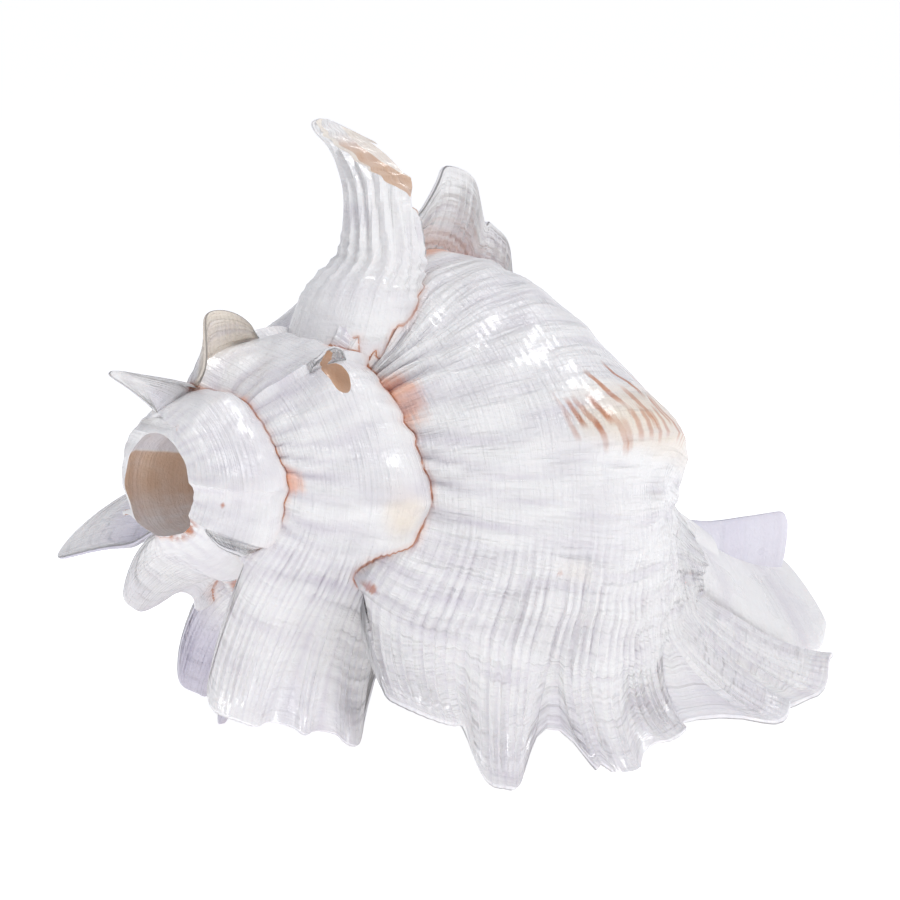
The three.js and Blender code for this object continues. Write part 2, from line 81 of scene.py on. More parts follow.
varices = [
    varix(-985, 2, frond(0.1, 0.4, 8, square=2), levels=6),
    varix(-858, 2, frond(0.12, 0.5, 66, lean=(15, 0), splay=-80, taper=0.7, curl=0.6, square=2), ribs=0.4),
    varix(-720, 3, frond(0.12, 0.36, 8), levels=6),
    varix(
        -655, 6,
        frond(0.04, 0.42, 38, splay=-24, taper=0.4, square=3, curl=0.4, web=(3, 20)),
        frond(0.42, 0.62, 36, splay=-14, taper=0.2, square=4, curl=0.4, web=(20, 14)),
        levels=10, ribs=0.5,
    ),
    varix(-497, 6, frond(0.02, 0.3, 17, splay=-20, taper=0.3, square=2.4), levels=8, ribs=0.5),
    varix(-456, 0, frond(0.25, 0.36, 5, lean=(10, 0), taper=0.3), levels=6),
    varix(
        -348, 12,
        frond(0.02, 0.22, 48, web=(30, 41), square=5, splay=-30, taper=0.1),
        frond(0.22, 0.29, 47, web=(40, 40), splay=-25, taper=0.2),
        frond(0.29, 0.4, 45, web=(39, 28), splay=-18, taper=0.2),
        levels=18,
    ),
    varix(
        -290, 4,
        frond(0.06, 0.3, 42, taper=0.3, square=7, curl=0.3, splay=0, swing=-8, web=(3, 10)),
        frond(0.3, 0.44, 54, web=(10, 14)),
        frond(0.44, 0.57, 57, web=(14, 10)),
        frond(0.57, 0.72, 26, web=(8, 6)),
        frond(0.72, 0.9, 14),
        levels=14,
    ),
    varix(
        -252, 6,
        frond(0.02, 0.34, 48, splay=-26, hook=6, square=2.2, swing=-9, twist=-60, soon=0.5, taper=0.5),
        frond(0.34, 0.44, 10),
        levels=14, ribs=0.4,
    ),
    varix(
        -135, 6,
        frond(0.2, 0.36, 6),
        frond(0.36, 0.5, 21, taper=0.1, square=5, web=(9, 12)),
        frond(0.5, 0.62, 14, taper=0.1, square=4, web=(8, 5)),
        frond(0.62, 0.68, 8),
        frond(0.68, 0.78, 5),
        frond(0.78, 0.92, 4),
        wrap=34, levels=14,
    ),
    varix(
        0, 13,
        frond(0.006, 0.16, 20, splay=-5, taper=0.1, curl=0.3, square=8, web=(19, 16)),
        frond(0.16, 0.3, 30, splay=-5, hook=8, taper=0.4, square=4, web=(16, 2)),
        frond(0.3, 0.35, 23, taper=0.3, web=(2, 16)),
        frond(0.35, 0.42, 24, taper=0.1, square=6, web=(16, 15)),
        frond(0.42, 0.58, 20, lean=(50, -20), taper=0.3, square=4, web=(16, 14)),
        frond(0.58, 0.78, 26, lean=(30, -10), splay=42, swing=-30, taper=0.1, square=4, web=(16, 22)),
        frond(0.78, 0.994, 31, lean=(20, -10), splay=58, swing=-40, taper=0, square=4, web=(24, 10)),
        levels=20,
    ),
]

knobs = [                                   # they rise over span and fall away over after
    {"turn": -53, "across": 0.45, "rise": 7.5, "span": 14, "after": 5, "width": 0.15},
    {"turn": -50, "across": 0.62, "rise": 5, "span": 16, "after": 10, "width": 0.12},
    {"turn": -185, "across": 0.36, "rise": 5, "span": 14, "after": 14, "width": 0.18},
    {"turn": -396, "across": 0.36, "rise": 6, "span": 14, "after": 8, "width": 0.12},
    {"turn": -446, "across": 0.3, "rise": 6, "span": 9, "after": 14, "width": 0.09},
    {"turn": -494, "across": 0.16, "rise": 6, "span": 12, "after": 8, "width": 0.14},
    {"turn": -560, "across": 0.3, "rise": 4, "span": 12, "after": 12, "width": 0.12},
    {"turn": -670, "across": 0.3, "rise": 4, "span": 12, "after": 12, "width": 0.12},
    {"turn": -756, "across": 0.24, "rise": 10, "span": 16, "after": 5, "width": 0.2},
    {"turn": -820, "across": 0.3, "rise": 5, "span": 12, "after": 8, "width": 0.14},
    {"turn": -915, "across": 0.3, "rise": 4, "span": 12, "after": 12, "width": 0.12},
]


def smooth(low, high, value):
    part = np.clip((value - low) / (high - low), 0, 1)
    return part * part * (3 - 2 * part)


def bell(value, centre, width):
    return np.exp(-((value - centre) / width) ** 2)


def sizeAt(turn):
    return growth["perTurn"] ** (np.asarray(turn, float) / 360)


def curveThrough(points, part):             # Catmull-Rom through the points, part from 0 to 1
    last = len(points) - 1
    spot = np.clip(part, 0, 1) * last
    here = np.minimum(spot.astype(int), last - 1)
    move = (spot - here)[..., None]
    a, b = points[np.maximum(here - 1, 0)], points[here]
    c, d = points[here + 1], points[np.minimum(here + 2, last)]
    rise, fall = (c - a) / 2, (d - b) / 2
    cubed = (2 * b - 2 * c + rise + fall) * move ** 3
    squared = (3 * c - 3 * b - 2 * rise - fall) * move ** 2
    return cubed + squared + rise * move + b


outlineParts = np.linspace(0, 1, 4001)
outlinePath = curveThrough(whorlOutline, outlineParts)
outlineLength = np.concatenate([[0], np.cumsum(np.linalg.norm(np.diff(outlinePath, axis=0), axis=1))])
outlineShare = outlineLength / outlineLength[-1]
outlineSlope = np.gradient(outlinePath, axis=0)
outlineSlope /= np.linalg.norm(outlineSlope, axis=1)[:, None]


def alongOutline(table, across):
    return np.stack([np.interp(across, outlineShare, table[:, k]) for k in range(2)], -1)


def place(x, r, turn):
    clock = np.radians(growth["lipClock"] + turn)
    size = sizeAt(turn)
    x, y, z = np.broadcast_arrays(x * size, -r * size * np.sin(clock), r * size * np.cos(clock))
    return np.stack([x, y, z], -1)


def bendCanal(points):
    bent = points.copy()
    bent[..., 2] -= canalBend["sag"] * smooth(canalBend["start"], canalBend["end"], points[..., 0])
    return bent


seam = {                                    # how the whorl's edge climbs over the older one at a varix
    "before": 17, "after": 9,               # degrees
    "reach": 0.34, "power": 1.4, "outward": 0.55,
    "wrapSpan": 34, "wrapReach": 0.3,
}


def sutureClimb(across, turn):
    climb = 0
    for one in varices:
        ahead = turn - one["turn"]
        climb = climb + one["climb"] * bell(ahead, 0, np.where(ahead < 0, seam["before"], seam["after"]))
    return climb * smooth(seam["reach"], 0, across) ** seam["power"]


def sutureWrap(across, turn):
    ahead = sum(one["wrap"] * bell(turn, one["turn"], seam["wrapSpan"]) for one in varices)
    return ahead * smooth(seam["wrapReach"], 0, across)


carving = {
    "cords": 64,            # spiral cords across a whorl
    "cordHeight": 0.06,
    "cordGain": 10,         # how much the cords grow towards a varix
    "foldSpan": 9.5,        # degrees between two growth folds
    "foldHeight": 0.45,
    "pleat": 1.1, "laterPleat": 1.5, "laterTurns": (-500, -200), "pleatReach": (0.26, 0.05),
    "lumpHeight": 0.6,      # broad unevenness
    "ribHeight": 0.8,       # where the cords run out over a flange
    "ribsFrom": 6,          # the number of the first varix with ribs
    "rimBlur": 2.5, "rimFade": (0.3, 0.9),
    "lamellaHeight": 0.22, "lamellae": 5,
    "swell": 1.2, "swellSpan": 16,          # the whorl swells before a varix
    "flare": 2.4, "flareSpan": 5,
}


def wander(across, turn):                   # slow uneven drift, so that nothing repeats evenly
    return (np.sin(turn / 17.0 + 5.1 * across) + np.sin(turn / 7.3 - 11.7 * across + 1.3)
            + np.sin(turn / 29.0 + 3.1 + 17.0 * across)) / 3


def cordWave(across, turn):
    phase = 2 * np.pi * carving["cords"] * (across + 0.004 * wander(across, turn))
    uneven = 0.65 + 0.35 * np.sin(phase * 0.31 + 1.7) * np.cos(phase * 0.17)
    return np.cos(phase) * uneven


def knobShare(knob, across, turn):
    ahead = turn - knob["turn"]
    along = bell(ahead, 0, np.where(ahead < 0, knob["span"], knob["after"]))
    return along * bell(across, knob["across"], knob["width"])


def foldWave(across, turn):
    return np.sin(2 * np.pi * (turn + 6 * wander(across, turn)) / carving["foldSpan"])


def ribShare(turn):                         # how strongly the cords stand out, towards each large varix
    return sum(bell(turn, one["turn"] - 6, 18) * (turn <= one["turn"] + 3) * one["ribs"]
               for one in varices[carving["ribsFrom"]:])


def relief(across, turn):
    rise = 0
    for one in varices:
        before = np.minimum(turn - one["turn"], 0)
        swell = carving["swell"] * bell(before, 0, carving["swellSpan"])
        swell = swell + carving["flare"] * np.exp(before / carving["flareSpan"])
        rise = rise + np.where(turn <= one["turn"] + 0.01, swell, 0)
    edge = smooth(0.02, 0.14, across) * smooth(1, 0.8, across)
    rise = rise * edge
    for knob in knobs:
        rise = rise + knob["rise"] * knobShare(knob, across, turn)
    drift = wander(across, turn)
    fold = foldWave(across, turn)
    pleat = carving["pleat"] + carving["laterPleat"] * smooth(*carving["laterTurns"], turn)
    nearSuture = 1 + pleat * smooth(*carving["pleatReach"], across)
    rise = rise + smooth(0, 0.05, across) * carving["foldHeight"] * fold * (0.5 + 0.5 * drift) * nearSuture
    lump = np.sin(turn / 4.1 + 13 * across) * np.sin(31 * across + turn / 8.7 + drift)
    rise = rise + edge * carving["lumpHeight"] * lump
    near = ribShare(turn)
    rise = rise + edge * carving["cordHeight"] * (1 + carving["cordGain"] * near) * cordWave(across, turn)
    return rise


def whorlPoint(across, turn):
    across, turn = np.broadcast_arrays(np.asarray(across, float), np.asarray(turn, float))
    point = alongOutline(outlinePath, across)
    slope = alongOutline(outlineSlope, across)
    rise = relief(across, turn)
    climb = sutureClimb(across, turn)
    x = point[..., 0] - slope[..., 1] * rise - climb
    r = point[..., 1] + slope[..., 0] * rise + seam["outward"] * climb
    return place(x, r, turn + sutureWrap(across, turn))


def blurAcross(values, width=1.3):          # softens the joins between neighbouring fronds
    reach = int(3 * width) + 1
    weights = bell(np.arange(-reach, reach + 1), 0, width * math.sqrt(2))
    weights /= weights.sum()
    padded = np.concatenate([values[:, :1]] * reach + [values] + [values[:, -1:]] * reach, 1)
    return sum(w * padded[:, k:k + values.shape[1]] for k, w in enumerate(weights))


def growFlange(one, across, levels):
    # the points of a flange's back face, rows by columns, the way its front looks, where it stands
    # and the height of the lamellae on its front
    turn = one["turn"]
    size = sizeAt(turn)
    foot = whorlPoint(across, turn)
    path = np.zeros((len(levels), len(across), 3))
    front = np.zeros_like(path)
    present = np.zeros(len(across))
    axis = np.array([1.0, 0, 0])
    taken = np.zeros(len(across), bool)
    for leaf in one["fronds"]:
        mine = (across >= leaf["start"]) & (across <= leaf["end"]) & ~taken
        taken |= mine
        spots = across[mine]
        clock = np.radians(growth["lipClock"] + turn + leaf["swing"])
        outward = np.array([0, -np.sin(clock), np.cos(clock)])
        forward = np.array([0, -np.cos(clock), -np.sin(clock)])
        side = (2 * spots - leaf["start"] - leaf["end"]) / (leaf["end"] - leaf["start"])
        web = leaf["web"][0] + (leaf["web"][1] - leaf["web"][0]) * (side + 1) / 2
        rim = web + (leaf["reach"] - web) * np.clip(1 - np.abs(side) ** leaf["square"], 0, None) ** 0.6
        part = levels[:, None] * rim[None] / leaf["reach"]
        leanFoot, leanTip = np.radians(leaf["lean"][0]), np.radians(leaf["lean"][1])
        bend = leanTip - leanFoot
        lean = leanFoot + bend * part
        splay = np.radians(leaf["splay"])
        stem = outward * np.cos(splay) + axis * np.sin(splay)
        reach = leaf["reach"]
        run = (reach * (np.sin(lean) - np.sin(leanFoot)) / bend)[..., None] * stem
        run = run + (reach * (np.cos(leanFoot) - np.cos(lean)) / bend)[..., None] * forward
        run = run - (leaf["hook"] * part * part)[..., None] * axis
        ends = whorlPoint(np.array([leaf["start"], leaf["end"]]), turn)
        halfWidth = np.linalg.norm(ends[1] - ends[0]) / 2 / size
        edge = (ends[1] - ends[0]) / np.linalg.norm(ends[1] - ends[0])
        face = -np.sin(lean)[..., None] * stem + np.cos(lean)[..., None] * forward
        turned = (np.radians(leaf["twist"]) * smooth(0, leaf["soon"], part))[..., None]
        acrossLeaf = np.cos(turned) * edge - np.sin(turned) * face
        outOfLeaf = np.cos(turned) * face + np.sin(turned) * edge
        fold = np.maximum(leaf["curl"] * np.minimum(1, part / leaf["soon"]) ** 0.8, 0.0001)
        width = halfWidth * (1 - leaf["taper"] * part ** 1.1)
        run = run + (width * np.sin(fold * side) / fold)[..., None] * acrossLeaf
        run = run + (width * (1 - np.cos(fold * side)) / fold)[..., None] * outOfLeaf
        run = run - halfWidth * side[None, :, None] * edge
        look = np.cos(fold * side)[..., None] * outOfLeaf - np.sin(fold * side)[..., None] * acrossLeaf
        path[:, mine] = run
        front[:, mine] = look / np.linalg.norm(look, axis=-1, keepdims=True)
        present[mine] = 1
    path = blurAcross(path)
    front = blurAcross(front)
    front /= np.maximum(np.linalg.norm(front, axis=-1, keepdims=True), 1e-6)
    path[:, present == 0] = 0
    raised = (smooth(0, 0.25, levels) * (0.12 + 0.88 * smooth(1, 0.7, levels)))[:, None]
    rib = carving["ribHeight"] * one["ribs"] * cordWave(across, turn)[None] * raised * present
    tread = (levels[:, None] * carving["lamellae"] + 0.3 * wander(across, turn)) % 1
    lamella = carving["lamellaHeight"] * one["ribs"] * (1 - tread) * raised * present
    calm = blurAcross(foot[None], carving["rimBlur"])[0]        # the cords of the foot fade out towards the rim
    faded = (smooth(*carving["rimFade"], levels)[:, None] * present)[..., None]
    points = foot + faded * (calm - foot) + size * (path + front * rib[..., None])
    return points, front, present, size * lamella


def closeLoops(points, turns, feet):
    # each row of points is closed by a few points beside the axis
    inner = []
    for row, turn in enumerate(turns):
        back = np.linspace(1, 0, growth["innerColumns"])
        x = np.interp(back, np.linspace(0, 1, points.shape[1]), feet[row][:, 0])
        inner.append(place(x / sizeAt(turn), growth["innerRadius"], turn))
    return np.concatenate([points, np.array(inner)], 1)


def meshFromLoops(name, loops, outer, mark, grain):
    # a closed skin through the loops, capped at both ends; grain holds (across, turn, level) of each point
    rows, size = loops.shape[:2]
    low = np.arange(rows - 1)[:, None] * size + np.arange(size)[None]
    beside = np.arange(rows - 1)[:, None] * size + (np.arange(size)[None] + 1) % size
    sides = np.stack([low, low + size, beside + size, beside], -1).reshape(-1, 4)
    caps = []
    near, far = 0, size - 1
    inner = size - outer
    while far - near > 1:                   # a ladder from the outer edge to the inner one
        walked = near / (outer - 1)
        returned = (size - 1 - far) / max(inner - 1, 1)
        if (walked <= returned and near < outer - 1) or far == outer:
            caps.append((near, near + 1, far))
            near += 1
        else:
            caps.append((near, far - 1, far))
            far -= 1
    caps = np.array(caps)
    end = (rows - 1) * size
    triangles = np.concatenate([caps, end + caps[:, ::-1]])
    corners = np.concatenate([sides.ravel(), triangles.ravel()])
    starts = np.concatenate([np.arange(len(sides)) * 4, len(sides) * 4 + np.arange(len(triangles)) * 3])
    mesh = bpy.data.meshes.new(name)
    points = bendCanal(loops.reshape(-1, 3))
    mesh.vertices.add(len(points))
    mesh.vertices.foreach_set("co", (points * millimetre).ravel())
    mesh.loops.add(len(corners))
    mesh.loops.foreach_set("vertex_index", corners)
    mesh.polygons.add(len(starts))
    mesh.polygons.foreach_set("loop_start", starts)
    mesh.update(calc_edges=True)
    grainPlace = mesh.attributes.new("grain", "FLOAT_VECTOR", "CORNER")
    grainPlace.data.foreach_set("vector", grain.reshape(-1, 3)[corners].ravel())
    part = mesh.attributes.new("part", "INT", "FACE")
    part.data.foreach_set("value", np.full(len(starts), mark))
    made = bpy.data.objects.new(name, mesh)
    bpy.context.scene.collection.objects.link(made)
    return made


def joinTo(body, other, operation="UNION"):
    change = body.modifiers.new("join", "BOOLEAN")
    change.operation = operation
    change.solver = "MANIFOLD"
    change.object = other
    seen = bpy.context.evaluated_depsgraph_get()
    joined = bpy.data.meshes.new_from_object(body.evaluated_get(seen))
    body.modifiers.clear()
    old = body.data
    body.data = joined
    bpy.data.meshes.remove(old)
    gone = other.data
    bpy.data.objects.remove(other)
    bpy.data.meshes.remove(gone)
    if not len(joined.polygons):
        raise ValueError("the join emptied " + body.name)


flange = {
    "foot": 3, "rim": 1.1, "thinnest": 0.85,        # thickness in millimetres, at the last whorl's size
    "levelPower": 0.8, "footBlend": 0.3, "crestRise": 0.25,
}


def growWhorls():
    across = np.linspace(0, 1, growth["columns"])
    body = None
    startTurn = growth["firstTurn"]
    for number, one in enumerate(varices):
        turn = one["turn"]
        size = sizeAt(turn)
        step = growth["youngRowStep"] if turn <= growth["youngUntil"] else growth["rowStep"]
        rows = max(3, round((turn - startTurn) / step))
        turns = np.linspace(startTurn, turn, rows, endpoint=False)
        whorl = np.stack([whorlPoint(across, each) for each in turns])
        grain = np.stack([np.stack([across, np.full_like(across, each), 0 * across], -1) for each in turns])
        levels = np.linspace(0, 1, one["levels"]) ** flange["levelPower"]
        points, front, present, lamella = growFlange(one, across, levels)
        landing = whorlPoint(across, turn + growth["settle"])
        thickness = size * (flange["foot"] + (flange["rim"] - flange["foot"]) * levels ** 0.5)
        thickness = np.maximum(flange["thinnest"], thickness)[:, None, None]
        raised = smooth(0, flange["footBlend"], levels)[:, None, None]
        outer = points + front * (thickness + lamella[..., None])
        outer = outer * raised + landing * (1 - raised)
        outer[:, present == 0] = landing[present == 0]
        crest = points[-1:] + front[-1:] * thickness[-1:] / 2
        upward = crest - points[-2:-1]
        upward /= np.maximum(np.linalg.norm(upward, axis=-1, keepdims=True), 0.3)
        crest = crest + flange["crestRise"] * size * upward
        crest[:, present == 0] = points[-1:][:, present == 0]
        loops = np.concatenate([whorl, points, crest, outer[::-1]])
        height = np.concatenate([levels, [1.0], 1 + levels[::-1]])
        flangeGrain = np.stack([np.stack([across, np.full_like(across, turn), np.full_like(across, each)], -1)
                                for each in height])
        flangeGrain[:, present == 0, 2] = 0
        allGrain = np.concatenate([grain, flangeGrain])
        allTurns = np.concatenate([turns, np.full(len(height) - 1, turn), [turn + growth["settle"]]])
        foot = np.repeat(whorlPoint(across, turn)[None], len(height) - 1, 0)
        feet = np.concatenate([whorl, foot, landing[None]])
        closed = closeLoops(loops, allTurns, feet)
        innerGrain = np.repeat(allGrain[:, -1:], growth["innerColumns"], 1)
        allGrain = np.concatenate([allGrain, innerGrain], 1)
        segment = meshFromLoops("growth%d" % number, closed, len(across), number, allGrain)
        if body is None:
            body = segment
        else:
            joinTo(body, segment)
        startTurn = turn + growth["settle"]
    return body


def turnedSolid(name, profile, mark, sides=64, ragged=0):
    profile = np.array(profile, float)
    clocks = np.arange(sides) * 2 * np.pi / sides
    wave = ragged * (np.sin(3 * clocks + 1) + 0.7 * np.sin(7 * clocks) + 0.5 * np.sin(13 * clocks + 2))
    x = profile[:, :1] + wave[None] * (profile[:, 0] > raggedFrom)[:, None]
    loops = np.stack([x + 0 * clocks, profile[:, 1:] * np.sin(clocks), profile[:, 1:] * np.cos(clocks)], -1)
    grain = np.stack([np.broadcast_to(clocks / 2 / np.pi, x.shape), x + 0 * clocks, 0 * x + 0 * clocks], -1)
    return meshFromLoops(name, loops, sides // 2, mark, grain)


columella = [(26, 3), (70, 5), (105, 11), (140, 9.5), (160, 8), (178, 6.5)]
canal = {
    "stations": [(146, -7, 9, 11), (160, -9, 14, 12), (175, -11, 19, 10.5), (188, -12, 24, 8),
                 (200, -11, 24, 5.5), (208, -4, 17, 3)],
    "oldClock": 8,
    "oldStations": [(140, -3, 3, 9), (160, -5, 4, 8), (176, -6, 8, 6.5), (190, -6, 13, 4.5),
                    (201, -5, 15, 3.2), (204, -2, 13, 2.4)],
    "rows": 40, "sides": 72,
    "slitFrom": 134, "slitTo": 200, "slitRows": 24,
    "slitWidth": 2.6, "slitAcross": (13, 5), "slitDepth": 12, "slitFlare": 1.6,
}
aperture = {
    "outline": [(81, 30.5), (88, 38.5), (97, 44.5), (106, 46.5), (115, 46), (124, 40.5), (133, 32), (143, 19),
                (142, 14), (133, 12), (124, 12), (115, 13), (106, 15), (97, 19.5), (88, 25.5), (82, 29.5)],
    "depth": 150, "mouth": 16, "rows": 70, "points": 120,
}
groove = {
    "turn": -446, "across": 0.3,
    "half": (5.5, 1.9, 3.2),                # half sizes along, across and into the whorl
    "rows": 16, "sides": 24,
}
apexDrop = 2.5                              # the break lies a little below the axis
raggedFrom = 20                             # and only its inner end is ragged
apexLost = [(-6, 7), (14, 12), (23.5, 14)]
apexPocket = [(20, 10.6), (24, 10.6), (32, 9.8), (39, 7.8), (44, 4.4), (46, 1)]


# the tall horn, in level sections: middle, half width along its broad side, half depth
tallHorn = {
    "facing": -40, "sides": 80, "rows": 84,
    "body": [
        (66, -2.5, 12, 8, 9), (67.5, -4.2, 23, 13, 13), (69.5, -5, 33.5, 13, 12),
        (70.5, -6, 39, 11.7, 10.5), (73, -7.5, 45, 9.1, 9.5), (73.3, -7, 51.5, 7.9, 8.5),
        (73.7, -5.5, 57.5, 7.5, 7.8), (74, -3.8, 62.5, 7.9, 7), (72, -0.3, 67, 6.4, 5.6),
        (69, 3.4, 70, 4.7, 4.2), (67.2, 5.8, 72, 2.8, 2.6), (66.7, 6.3, 73, 0.9, 1.2),
    ],
    "mouth": [              # takes the near wall down to its sloping rim
        (89, -24.6, 53, 10, 10.3), (84.2, -19.5, 57.5, 10, 10), (79.1, -14.1, 61.5, 10, 9.7),
        (74.2, -9, 66, 10, 9.1), (68.8, -4.1, 70.5, 10, 8), (65, -0.8, 76, 10, 7.2),
    ],
    "channel": [
        (91, -21.8, 51.5, 12, 6.4), (87.3, -17.8, 54.5, 12, 6.1), (84.5, -14.3, 58, 12, 5.6),
        (82.4, -11, 62, 12, 5), (79.1, -6.5, 66.5, 12, 3.7), (75.7, -2.3, 70, 12, 2.1),
        (74.3, 0, 73.5, 12, 0.8),
    ],
    "flutes": 17, "fluteHeight": 0.62, "fluteFrom": (30, 48),      # folds up the horn
    "steps": 2.7, "stepHeight": 0.8, "stepAt": 42, "stepSpan": 7,   # growth steps round its foot
    "crimp": 0.45, "crimpSpan": 2.3,        # crinkles of the rim
}


def hornPart(name, mark):
    stations = curveThrough(np.array(tallHorn[name], float), np.linspace(0, 1, tallHorn["rows"]))
    angle = -2 * np.pi * np.arange(tallHorn["sides"]) / tallHorn["sides"]
    x, y, z, halfWidth, halfDepth = (stations[:, k:k + 1] for k in range(5))
    if name == "body":
        slant = angle * 1.0 + (z - 50) * 0.012
        flute = np.sin(tallHorn["flutes"] * slant + np.sin(3 * angle))
        swell = tallHorn["fluteHeight"] * flute * smooth(*tallHorn["fluteFrom"], z)
        tread = (z + 1.2 * np.cos(angle) + 0.5 * np.sin(5 * angle)) / tallHorn["steps"] % 1
        near = bell(z, tallHorn["stepAt"], tallHorn["stepSpan"])
        swell = swell + tallHorn["stepHeight"] * (tread ** 2 - 0.4) * near
        swell = swell * smooth(0.5, 4, halfDepth)
    else:
        swell = tallHorn["crimp"] * np.sin(2 * np.pi * z / tallHorn["crimpSpan"] + np.sin(z)) + 0 * angle
    along = (halfWidth + swell) * np.cos(angle)
    through = (halfDepth + swell * (name == "body")) * np.sin(angle)
    facing = math.radians(tallHorn["facing"])
    loops = np.stack([x + along * math.cos(facing) - through * math.sin(facing),
                      y + along * math.sin(facing) + through * math.cos(facing), z + 0 * along], -1)
    grain = np.stack([angle + 0 * z, z + 0 * angle, 0 * along], -1)
    return meshFromLoops(name, loops, tallHorn["sides"] // 2, mark, grain)


def fromClock(x, edge, face, clock):        # a place by its edge and face distance from the axis
    clock = math.radians(clock)
    return np.stack([x, -edge * math.sin(clock) - face * math.cos(clock),
                     edge * math.cos(clock) - face * math.sin(clock)], -1)


def canalTube(stations, clock, mark):
    stations = curveThrough(np.array(stations, float), np.linspace(0, 1, canal["rows"]))
    angle = -2 * np.pi * np.arange(canal["sides"]) / canal["sides"]
    x, low, high, thick = (stations[:, k:k + 1] for k in range(4))
    edge = (low + high) / 2 + (high - low) / 2 * np.cos(angle)
    face = thick / 2 * np.sin(angle)
    loops = fromClock(x + 0 * edge, edge, face, clock)
    grain = np.stack([0 * edge + angle / 2 / np.pi, x + 0 * edge, 0 * edge], -1)
    return meshFromLoops("canalTube", loops, canal["sides"] // 2, mark, grain)


def canalSlit(mark):
    x = np.linspace(canal["slitFrom"], canal["slitTo"], canal["slitRows"])
    middle = np.linspace(canal["slitAcross"][0], canal["slitAcross"][1], canal["slitRows"])[:, None]
    side = np.array([-1, -canal["slitFlare"], canal["slitFlare"], 1])
    out = np.array([0, 1, 1, 0])
    edge = middle + side * canal["slitWidth"] / 2
    loops = fromClock(x[:, None] + 0 * edge, edge, out * canal["slitDepth"] + 0 * edge, growth["lipClock"])
    return meshFromLoops("canalSlit", loops, 2, mark, np.zeros_like(loops))


def apertureHollow(mark):
    outline = np.array(aperture["outline"] + aperture["outline"][:1], float)
    ring = curveThrough(outline, np.arange(aperture["points"]) / aperture["points"])
    turns = np.linspace(-aperture["depth"], aperture["mouth"], aperture["rows"])
    loops = np.stack([place(ring[:, 0], ring[:, 1], each) for each in turns])
    around = np.arange(aperture["points"]) / aperture["points"]
    grain = np.stack([np.stack([around, np.full_like(around, each), 0 * around], -1) for each in turns])
    return meshFromLoops("apertureHollow", loops, aperture["points"] // 2, mark, grain)


def grooveSolid(mark):                      # a ball stretched along the growth
    middle, ahead = whorlPoint(groove["across"], np.array([groove["turn"], groove["turn"] + 1]))
    along = (ahead - middle) / np.linalg.norm(ahead - middle)
    inward = -middle * (0, 1, 1) / np.linalg.norm(middle[1:])
    sideways = np.cross(inward, along)
    sideways /= np.linalg.norm(sideways)
    lengths = np.linspace(-0.999, 0.999, groove["rows"])[:, None]
    angle = -2 * np.pi * np.arange(groove["sides"]) / groove["sides"]
    ring = np.sqrt(1 - lengths ** 2)
    half = groove["half"]
    loops = middle + (half[0] * lengths + 0 * angle)[..., None] * along
    loops = loops + (half[1] * ring * np.cos(angle))[..., None] * sideways
    loops = loops + (half[2] * ring * np.sin(angle))[..., None] * inward
    return meshFromLoops("groove", loops, groove["sides"] // 2, mark, np.zeros_like(loops))


marks = {
    "columella": 20, "canal": 21, "aperture": 22, "slit": 23, "lost": 24, "pocket": 25, "oldCanal": 27,
    "horn": 28, "hornMouth": 29, "hornChannel": 30, "groove": 31,
}

print("growing the whorls")
shell = growWhorls()
print("whorls", len(shell.data.polygons), "faces")
joinTo(shell, turnedSolid("columellaSolid", columella, marks["columella"], 48))
joinTo(shell, canalTube(canal["stations"], growth["lipClock"], marks["canal"]))
joinTo(shell, canalTube(canal["oldStations"], canal["oldClock"], marks["oldCanal"]))
horn = hornPart("body", marks["horn"])
joinTo(horn, hornPart("mouth", marks["hornMouth"]), "DIFFERENCE")
joinTo(horn, hornPart("channel", marks["hornChannel"]), "DIFFERENCE")
joinTo(shell, horn)
joinTo(shell, apertureHollow(marks["aperture"]), "DIFFERENCE")
joinTo(shell, canalSlit(marks["slit"]), "DIFFERENCE")
apexCuts = (apexLost, marks["lost"], 96, 0.35), (apexPocket, marks["pocket"], 64, 0)
for profile, mark, sides, ragged in apexCuts:
    broken = turnedSolid("broken", profile, mark, sides, ragged)
    broken.data.transform(Matrix.Translation((0, 0, -apexDrop * millimetre)))
    joinTo(shell, broken, "DIFFERENCE")
joinTo(shell, grooveSolid(marks["groove"]), "DIFFERENCE")
print("hollowed", len(shell.data.polygons), "faces")

shell.data.transform(Matrix.Rotation(math.radians(rest["pitch"]), 4, "Y"))
shell.data.transform(Matrix.Translation(Vector(rest["shift"]) * millimetre))
bpy.ops.mesh.primitive_cube_add(size=0.4, location=(0, 0, -0.2))
ground = bpy.context.object
joinTo(shell, ground, "DIFFERENCE")

# only the largest closed skin is the shell; pockets between whorls are dropped
work = bmesh.new()
work.from_mesh(shell.data)
work.faces.ensure_lookup_table()
skins = []
unseen = set(work.faces)
while unseen:
    front = [unseen.pop()]
    skin = list(front)
    while front:
        grown = []
        for face in front:
            for edge in face.edges:
                for other in edge.link_faces:
                    if other in unseen:
                        unseen.remove(other)
                        grown.append(other)
        skin.extend(grown)
        front = grown
    skins.append(skin)
skins.sort(key=len)
bmesh.ops.delete(work, geom=[face for skin in skins[:-1] for face in skin], context="FACES")
bmesh.ops.triangulate(work, faces=work.faces[:])
sameCorners = {}                            # faces back to back hold nothing between them, so both go
for face in work.faces:
    sameCorners.setdefault(frozenset(face.verts), []).append(face)
folded = [face for faces in sameCorners.values() if len(faces) > 1 for face in faces]
bmesh.ops.delete(work, geom=folded, context="FACES")
work.to_mesh(shell.data)
work.free()
shell.name = "shell"
print("kept skin", len(shell.data.polygons), "triangles")
shell.data.shade_smooth()
shell.data.set_sharp_from_angle(angle=math.radians(50))


